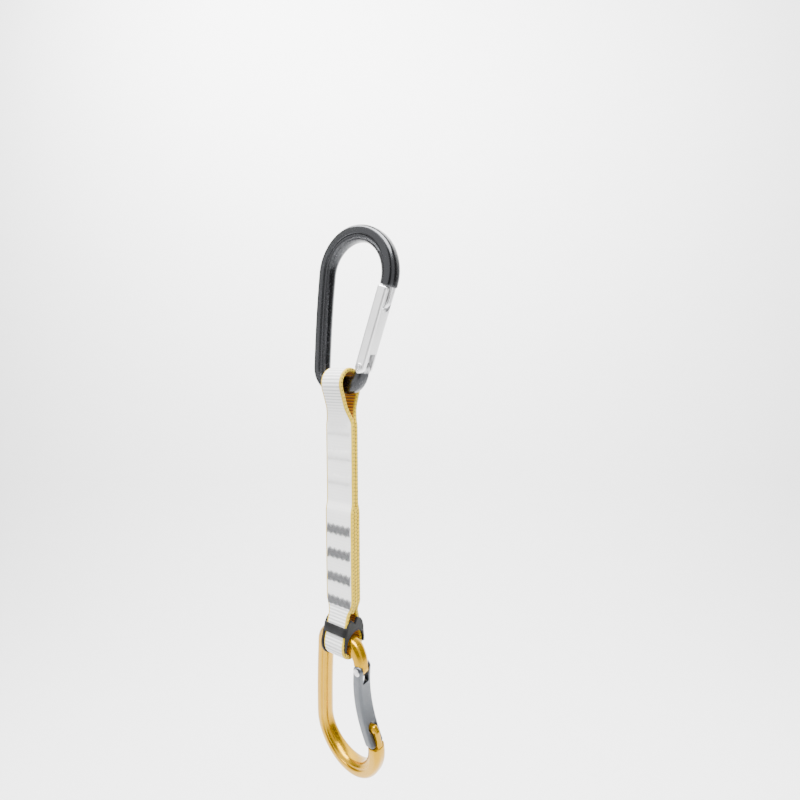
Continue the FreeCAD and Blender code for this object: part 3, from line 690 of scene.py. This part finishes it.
def tape_path():
    """The tape's centreline in the sling's frame, (across, height), from one end to the other."""
    def tangent_angle(start_y, start_z, centre_z):
        away = Vector((start_y, start_z - centre_z))
        return math.atan2(away.y, away.x), math.acos(LOOP_RADIUS / away.length)

    low_centre, top_centre = LOOP_OUTER - SLING_LENGTH, -LOOP_OUTER
    line = [(THREE_LAYER, -BUTT_SEAM), (THREE_LAYER, -LOWER_MERGE)]
    aim, spread = tangent_angle(THREE_LAYER, -LOWER_MERGE, low_centre)
    start, end = aim - spread, -math.pi - (aim - spread)
    line += [(LOOP_RADIUS * math.cos(start + (end - start) * i / 40),
              low_centre + LOOP_RADIUS * math.sin(start + (end - start) * i / 40)) for i in range(41)]
    line += [(-THREE_LAYER, -LOWER_MERGE), (-THREE_LAYER, -OVERLAP_START - 3),
             (-TWO_LAYER, -OVERLAP_START + 2), (-TWO_LAYER, -UPPER_MERGE)]
    aim, spread = tangent_angle(-TWO_LAYER, -UPPER_MERGE, top_centre)
    aim = aim % (2 * math.pi)
    start, end = aim - spread, math.pi - (aim - spread)
    line += [(LOOP_RADIUS * math.cos(start + (end - start) * i / 44),
              top_centre + LOOP_RADIUS * math.sin(start + (end - start) * i / 44)) for i in range(45)]
    line += [(TWO_LAYER, -UPPER_MERGE), (TWO_LAYER, -OVERLAP_START + 2),
             (THREE_LAYER, -OVERLAP_START - 3), (THREE_LAYER, -BUTT_SEAM + 0.15)]
    return line


def evened(line):
    """The same line with even, softened steps."""
    line = [Vector(p) for p in line]
    even = [line[0]]
    for first, second in zip(line, line[1:]):
        count = max(1, round((second - first).length / PATH_STEP))
        even += [first.lerp(second, i / count) for i in range(1, count + 1)]
    for _ in range(12):
        inner = [(a + b * 2 + c) / 4 for a, b, c in zip(even, even[1:], even[2:])]
        even = [even[0]] + inner + [even[-1]]
    return even


def tape_section(points_across=26):
    """The tape's section as (across share, face, edge) where face is 1 outside and -1 inside."""
    corners = []
    for index in range(points_across + 1):
        corners.append((-1 + 2 * index / points_across, 1.0))
    for index in range(1, 8):
        angle = math.radians(90 - 180 * index / 8)
        corners.append((1.0, math.sin(angle)))
    for index in range(points_across + 1):
        corners.append((1 - 2 * index / points_across, -1.0))
    for index in range(1, 8):
        angle = math.radians(-90 + 180 * index / 8)
        corners.append((-1.0, math.sin(angle)))
    return corners


def tape_half(depth):
    """Half the tape's width at a depth below the sling's top: it is folded in at both loops."""
    folded = max(ease((FOLD_TOP - depth) / FOLD_TOP_RUN), ease((depth - FOLD_LOW) / FOLD_LOW_RUN))
    return (TAPE_WIDTH + (LOOP_WIDTH - TAPE_WIDTH) * folded) / 2


def sweep_tape(bm, path):
    """Sweeps the tape's section along a path, with raised ribs and braided edges."""
    layers = [bm.verts.layers.float[name] for name in TAPE_MARKS]
    corners = tape_section()
    thick = TAPE_THICK / 2
    rings = []
    travelled = 0.0
    for index, point in enumerate(path):
        before, after = path[max(0, index - 1)], path[min(len(path) - 1, index + 1)]
        tangent = (after - before).normalized()
        outward = Vector((-tangent.y, tangent.x))
        if index:
            travelled += (point - path[index - 1]).length
        depth = -point.y
        looped = max(ease((UPPER_MERGE - depth) / 16), ease((depth - LOWER_MERGE + 6) / 8))
        half = tape_half(depth)
        ring = []
        for share, side in corners:
            ridge = 0.5 + 0.5 * math.cos(travelled * 2 * math.pi / RIB_PITCH)
            braid = math.sin(travelled * 2 * math.pi / BRAID_PITCH + (1.6 if side > 0 else 0))
            edge = ease((abs(share) * half - (half - EDGE_BEAD)) / 0.5)
            height = thick * side
            crown = 0.10 * (1 - abs(share) ** 2) * side
            ribs = (0.02 + 0.18 * looped) * (ridge - 0.5) * (1 if abs(side) > 0.95 else 0) * side
            if abs(side) > 0.95:
                height += crown + ribs * (1 - edge) - 0.12 * side * edge * (1 + 0.5 * braid)
            wide = share * half
            if abs(share) >= 1:
                swell = 0.55 * math.sqrt(max(0.0, 1 - side * side))
                wide = math.copysign(half - 0.55 + swell + 0.06 * braid, share)
            elif abs(share) > 0.93:
                wide = math.copysign(min(abs(wide), half - 0.5), share)
            place = point + outward * height
            ring.append((Vector((wide, place.x, place.y)),
                         (share * half, (1 - abs(share)) * half, travelled, side, looped)))
        rings.append(ring)
    loops = []
    for ring in rings:
        loop = []
        for place, marks in ring:
            vert = bm.verts.new(place)
            for layer, mark in zip(layers, marks):
                vert[layer] = mark
            loop.append(vert)
        loops.append(loop)
    for first, second in zip(loops, loops[1:]):
        for index in range(len(first)):
            following = (index + 1) % len(first)
            bm.faces.new((first[index], first[following], second[following], second[index]))
    bm.faces.new(loops[0])
    bm.faces.new(list(reversed(loops[-1])))


def sling_tape():
    """The long strand that makes both loops, and the short strip sewn between its two faces."""
    bm = bmesh.new()
    for name in TAPE_MARKS:
        bm.verts.layers.float.new(name)
    sweep_tape(bm, evened(tape_path()))
    sweep_tape(bm, evened([(0.0, -OVERLAP_START), (0.0, -MIDDLE_END)]))
    bmesh.ops.transform(bm, matrix=sling_frame, verts=bm.verts)
    bmesh.ops.recalc_face_normals(bm, faces=bm.faces)
    mesh = bpy.data.meshes.new("woven_tape")
    bm.to_mesh(mesh)
    bm.free()
    mesh.shade_smooth()
    thing = bpy.data.objects.new("woven_tape", mesh)
    bpy.context.scene.collection.objects.link(thing)
    return thing


def webbing_material():
    """White outside, golden inside, yellow braided borders with dark dashes of painted shadow for the gaps
    between layers, painted shade in the rib troughs, and a fine weave.
    """
    material, tree, shader = new_material("woven_tape")
    across = wire(tree, "ShaderNodeAttribute", attribute_name="across_mm").outputs["Fac"]
    along = wire(tree, "ShaderNodeAttribute", attribute_name="along_mm").outputs["Fac"]
    face = wire(tree, "ShaderNodeAttribute", attribute_name="outer_face").outputs["Fac"]
    place = wire(tree, "ShaderNodeTexCoord").outputs["Object"]
    fibre = wire(tree, "ShaderNodeTexNoise", {"Vector": place, "Scale": 2500.0, "Detail": 4.0})
    blotch = wire(tree, "ShaderNodeTexNoise", {"Vector": place, "Scale": 160.0, "Detail": 2.0})

    def wave(source, pitch, sharp=1.0, shift=0.0):
        angle = maths(tree, "MULTIPLY_ADD", source, 2 * math.pi / pitch, shift)
        return maths(tree, "MULTIPLY_ADD", maths(tree, "SINE", angle), 0.5 * sharp, 0.5)

    rib = wave(along, 1.9, 1.0, math.pi / 2)
    warp = wave(across, 0.55)
    edge = wire(tree, "ShaderNodeAttribute", attribute_name="edge_mm").outputs["Fac"]
    looped = wire(tree, "ShaderNodeAttribute", attribute_name="loop_share").outputs["Fac"]
    border = maths(tree, "LESS_THAN", edge, 1.2)
    inside = maths(tree, "LESS_THAN", face, -0.6)
    edge_side = maths(tree, "LESS_THAN", maths(tree, "ABSOLUTE", face), 0.93)
    white = blend_colours(tree, blotch.outputs["Fac"], (0.88, 0.875, 0.86), (0.95, 0.945, 0.935))
    # painted shade: the rib troughs on the white face are darkened towards dark grey, more strongly on the
    # loops
    painted_rib_shade = maths(tree, "MULTIPLY", maths(tree, "SUBTRACT", 1.0, rib),
                   maths(tree, "MULTIPLY_ADD", looped, 0.62, 0.06))
    white = blend_colours(tree, painted_rib_shade, white, (0.30, 0.30, 0.31))
    # painted shade: the rib troughs on the golden inside face are darkened to a near black brown
    golden = blend_colours(tree, maths(tree, "MULTIPLY", maths(tree, "SUBTRACT", 1.0, rib), 0.85),
                           (0.70, 0.30, 0.0), (0.11, 0.04, 0.004))
    yellow = blend_colours(tree, blotch.outputs["Fac"], (0.56, 0.37, 0.0), (0.68, 0.47, 0.0))
    # painted shadow: dark dashes in lanes on the yellow edges stand for the shadowed gaps between the tape's
    # layers
    gap_shadow_dash = maths(tree, "GREATER_THAN", wave(along, 2.3), 0.70)
    lane = maths(tree, "GREATER_THAN", wave(face, 1.0, 1.0, 0.8), 0.35)
    painted_gap_shadows = maths(tree, "MULTIPLY", maths(tree, "MULTIPLY", gap_shadow_dash, lane), edge_side)
    yellow = blend_colours(tree, maths(tree, "MULTIPLY", painted_gap_shadows, 0.95), yellow, (0.055, 0.045, 0.006))
    colour = blend_colours(tree, inside, white, golden)
    trimmed = maths(tree, "MAXIMUM", border, edge_side)
    colour = blend_colours(tree, trimmed, colour, yellow)
    colour = blend_colours(tree, maths(tree, "MULTIPLY", fibre.outputs["Fac"], 0.12), colour,
                           (0.25, 0.24, 0.22), "MULTIPLY")
    tree.links.new(colour, shader.inputs["Base Color"])
    shader.inputs["Roughness"].default_value = 0.78
    shader.inputs["Sheen Weight"].default_value = 0.06
    shader.inputs["Sheen Roughness"].default_value = 0.5
    height = maths(tree, "ADD", maths(tree, "MULTIPLY", warp, 0.5),
                   maths(tree, "MULTIPLY", fibre.outputs["Fac"], 0.8))
    height = maths(tree, "ADD", height, maths(tree, "MULTIPLY", wave(along, 0.6), 0.5))
    relief = wire(tree, "ShaderNodeBump", {"Height": height, "Strength": 0.5, "Distance": 0.00012})
    tree.links.new(relief.outputs[0], shader.inputs["Normal"])
    return material


tape = sling_tape()
tape.data.materials.append(webbing_material())
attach(tape, "sling")
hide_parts("sling_tape")

# ------------------------------------------------------------------ bar tacks
# Each bar tack is one thread, sewn by machine as a dense zigzag across the tape and pulled tight, so the
# stitches lie side by side and their ends make ragged top and bottom edges.

TACK_HEIGHT, TACK_WIDTH, TACK_PITCH = 6.2, 18.0, 15.1
FIRST_GREY, FIRST_WHITE = 99.2, 38.0
THREAD_RADIUS, STITCH_STEP = 0.24, 0.46
STITCH_SUNK, STITCH_LIFT, STITCH_JAG = 0.05, 0.34, 0.42


def bar_tack(name, distance, surface, seed):
    """Zigzag stitches on both faces of the tape, as one run of thread on each."""
    bm = bmesh.new()
    for face in (-1, 1):
        count = int(TACK_WIDTH / STITCH_STEP)
        path = []
        for index in range(count + 1):
            x = -TACK_WIDTH / 2 + TACK_WIDTH * index / count
            jag = STITCH_JAG * math.sin(index * 2.399 + seed * 1.7)
            end = (TACK_HEIGHT / 2 + jag) * (1 if index % 2 else -1)
            path.append(Vector((x, face * (surface - STITCH_SUNK), -distance + end)))
        centre = []
        for first, second in zip(path, path[1:]):
            for step in range(6):
                share = step / 6
                lift = STITCH_LIFT * math.sin(math.pi * share) ** 0.5 if 0 < share < 1 else 0.0
                centre.append(first.lerp(second, share) + Vector((0, face * lift, 0)))
        centre.append(path[-1])
        rings = []
        for index, point in enumerate(centre):
            tangent = (centre[min(index + 1, len(centre) - 1)] - centre[max(index - 1, 0)]).normalized()
            side = tangent.cross(Vector((0, 1, 0))).normalized()
            up = side.cross(tangent).normalized()
            rings.append([point + THREAD_RADIUS * (side * math.cos(a) + up * math.sin(a))
                          for a in (math.radians(d) for d in range(0, 360, 60))])
        skin(bm, rings)
    bmesh.ops.transform(bm, matrix=sling_frame, verts=bm.verts)
    return new_piece(name, bm, 80)


def thread_material(name, shade, dark):
    """Bonded polyester thread: twisted, slightly glossy and mottled."""
    material, tree, shader = new_material(name)
    place = wire(tree, "ShaderNodeTexCoord").outputs["Object"]
    twist = wire(tree, "ShaderNodeTexWave",
                 {"Vector": place, "Scale": 900.0, "Distortion": 3.0, "Detail": 1.0},
                 bands_direction="DIAGONAL")
    mottle = wire(tree, "ShaderNodeTexNoise", {"Vector": place, "Scale": 700.0, "Detail": 3.0})
    colour = blend_colours(tree, mottle.outputs["Fac"], dark, shade)
    colour = blend_colours(tree, maths(tree, "MULTIPLY", twist.outputs["Fac"], 0.3), colour, shade)
    tree.links.new(colour, shader.inputs["Base Color"])
    shader.inputs["Roughness"].default_value = 0.6
    shader.inputs["Sheen Weight"].default_value = 0.3
    relief = wire(tree, "ShaderNodeBump",
                  {"Height": twist.outputs["Fac"], "Strength": 0.5, "Distance": 0.0001})
    tree.links.new(relief.outputs[0], shader.inputs["Normal"])
    return material


grey_thread = thread_material("grey_thread", (0.13, 0.133, 0.137), (0.055, 0.055, 0.06))
white_thread = thread_material("white_thread", (0.95, 0.945, 0.935), (0.86, 0.855, 0.84))
for number in range(4):
    tack = bar_tack(f"grey_stitching_{number + 1}", FIRST_GREY + number * TACK_PITCH,
                    THREE_LAYER + TAPE_THICK / 2 + 0.1, number)
    tack.data.materials.append(grey_thread)
    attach(tack, "sling")
    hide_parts(f"grey_tack_{number + 1}")
for number in range(3):
    tack = bar_tack(f"white_stitching_{number + 1}", FIRST_WHITE + number * TACK_PITCH,
                    TWO_LAYER + TAPE_THICK / 2 + 0.1, number + 5)
    tack.data.materials.append(white_thread)
    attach(tack, "sling")
    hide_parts(f"white_tack_{number + 1}")

# ------------------------------------------------------------------ rubber keeper
# The keeper is moulded in one piece from black rubber: a band round the lower loop's two legs, and a flat web
# beside each edge of the loop, with a hole that the carabiner's bar passes through.

BAND_TOP, BAND_HEIGHT, KEEPER_WALL = 157.5, 5.4, 1.2
LEG_SLOPE, LEG_AT_BAND = 0.264, 7.45
WEB_THICK, WEB_HOLE, RIM_RADIUS, KEEPER_FIT = 1.5, 7.8, 10.5, 0.15


def keeper_band(bm):
    """A rounded rectangular band round the loop's two legs, leaning with them at front and back."""
    half_x, half_y = LOOP_WIDTH / 2 + KEEPER_FIT, LEG_AT_BAND + KEEPER_FIT
    count = 12
    profile = []
    for index in range(count):
        angle = 2 * math.pi * index / count
        profile.append((KEEPER_WALL / 2 * (1 + math.copysign(abs(math.cos(angle)) ** 0.6, math.cos(angle))),
                        BAND_HEIGHT / 2 * math.copysign(abs(math.sin(angle)) ** 0.6, math.sin(angle))))
    rings = []
    corner = 1.2
    for sx, sy, start in ((1, 1, 0), (-1, 1, 90), (-1, -1, 180), (1, -1, 270)):
        for step in range(7):
            angle = math.radians(start + 90 * step / 6)
            outward = Vector((math.cos(angle), math.sin(angle), 0))
            foot = Vector((sx * (half_x - corner), sy * (half_y - corner),
                           -BAND_TOP - BAND_HEIGHT / 2)) + outward * corner
            rings.append([foot + outward * r + Vector((0, -sy * h * LEG_SLOPE, h)) for r, h in profile])
    rings.append(rings[0])
    skin(bm, rings, False, False)


def keeper_web(bm, offset, rimmed):
    """The flat web beside one edge of the loop: a notch in the crotch above, an arch over the bar below."""
    low_centre = LOOP_OUTER - SLING_LENGTH
    half = [(0.0, -158.0), (2.6, -154.4), (5.4, -156.0), (7.2, -158.4), (8.6, -163.0)]
    if rimmed:
        half += [(RIM_RADIUS * math.cos(math.radians(a)),
                  low_centre + RIM_RADIUS * math.sin(math.radians(a))) for a in range(26, -91, -6)]
        half.append((0.0, low_centre - RIM_RADIUS))
    else:
        half += [(8.3, -163.6), (8.6, -166.0), (8.9, -169.0), (8.9, -172.2), (0.0, -172.2)]
    outline = half + [(-y, z) for y, z in reversed(half[1:-1])]
    web = bmesh.new()
    face = web.faces.new([web.verts.new((offset - WEB_THICK / 2, y, z)) for y, z in outline])
    raised = bmesh.ops.extrude_face_region(web, geom=[face])
    bmesh.ops.translate(web, vec=(WEB_THICK, 0, 0),
                        verts=[v for v in raised["geom"] if isinstance(v, bmesh.types.BMVert)])
    across = Matrix.Translation((offset, 0, low_centre)) @ Matrix.Rotation(math.radians(90), 4, "Z")
    add_to(bm, carve(web, [cylinder(WEB_HOLE, 6, across)]))


def rubber_material():
    """Moulded rubber: near black, matt, with a fine moulded grain and paler rubbed patches."""
    material, tree, shader = new_material("moulded_rubber")
    place = wire(tree, "ShaderNodeTexCoord").outputs["Object"]
    grain = wire(tree, "ShaderNodeTexNoise", {"Vector": place, "Scale": 1400.0, "Detail": 5.0})
    rubbed = wire(tree, "ShaderNodeTexNoise", {"Vector": place, "Scale": 120.0, "Detail": 2.0})
    black = ramp(tree, rubbed.outputs["Fac"],
                 [(0.35, (0.006, 0.006, 0.006)), (0.75, (0.016, 0.016, 0.017))])
    tree.links.new(black, shader.inputs["Base Color"])
    tree.links.new(maths(tree, "MULTIPLY_ADD", grain.outputs["Fac"], 0.2, 0.5), shader.inputs["Roughness"])
    shader.inputs["Specular IOR Level"].default_value = 0.18
    relief = wire(tree, "ShaderNodeBump",
                  {"Height": grain.outputs["Fac"], "Strength": 0.3, "Distance": 0.0001})
    tree.links.new(relief.outputs[0], shader.inputs["Normal"])
    return material


keeper_bm = bmesh.new()
keeper_band(keeper_bm)
beside = LOOP_WIDTH / 2 + KEEPER_FIT + WEB_THICK / 2
keeper_web(keeper_bm, -beside, True)
keeper_web(keeper_bm, beside, False)
bmesh.ops.transform(keeper_bm, matrix=sling_frame, verts=keeper_bm.verts)
keeper = new_piece("loop_keeper", keeper_bm, 60)
moulded = keeper.modifiers.new("moulded_edges", "BEVEL")
moulded.width, moulded.segments, moulded.limit_method = 0.0003, 3, "ANGLE"
moulded.angle_limit, moulded.harden_normals = math.radians(50), True
keeper.data.materials.append(rubber_material())
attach(keeper, "sling")
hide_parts("rubber_keeper")
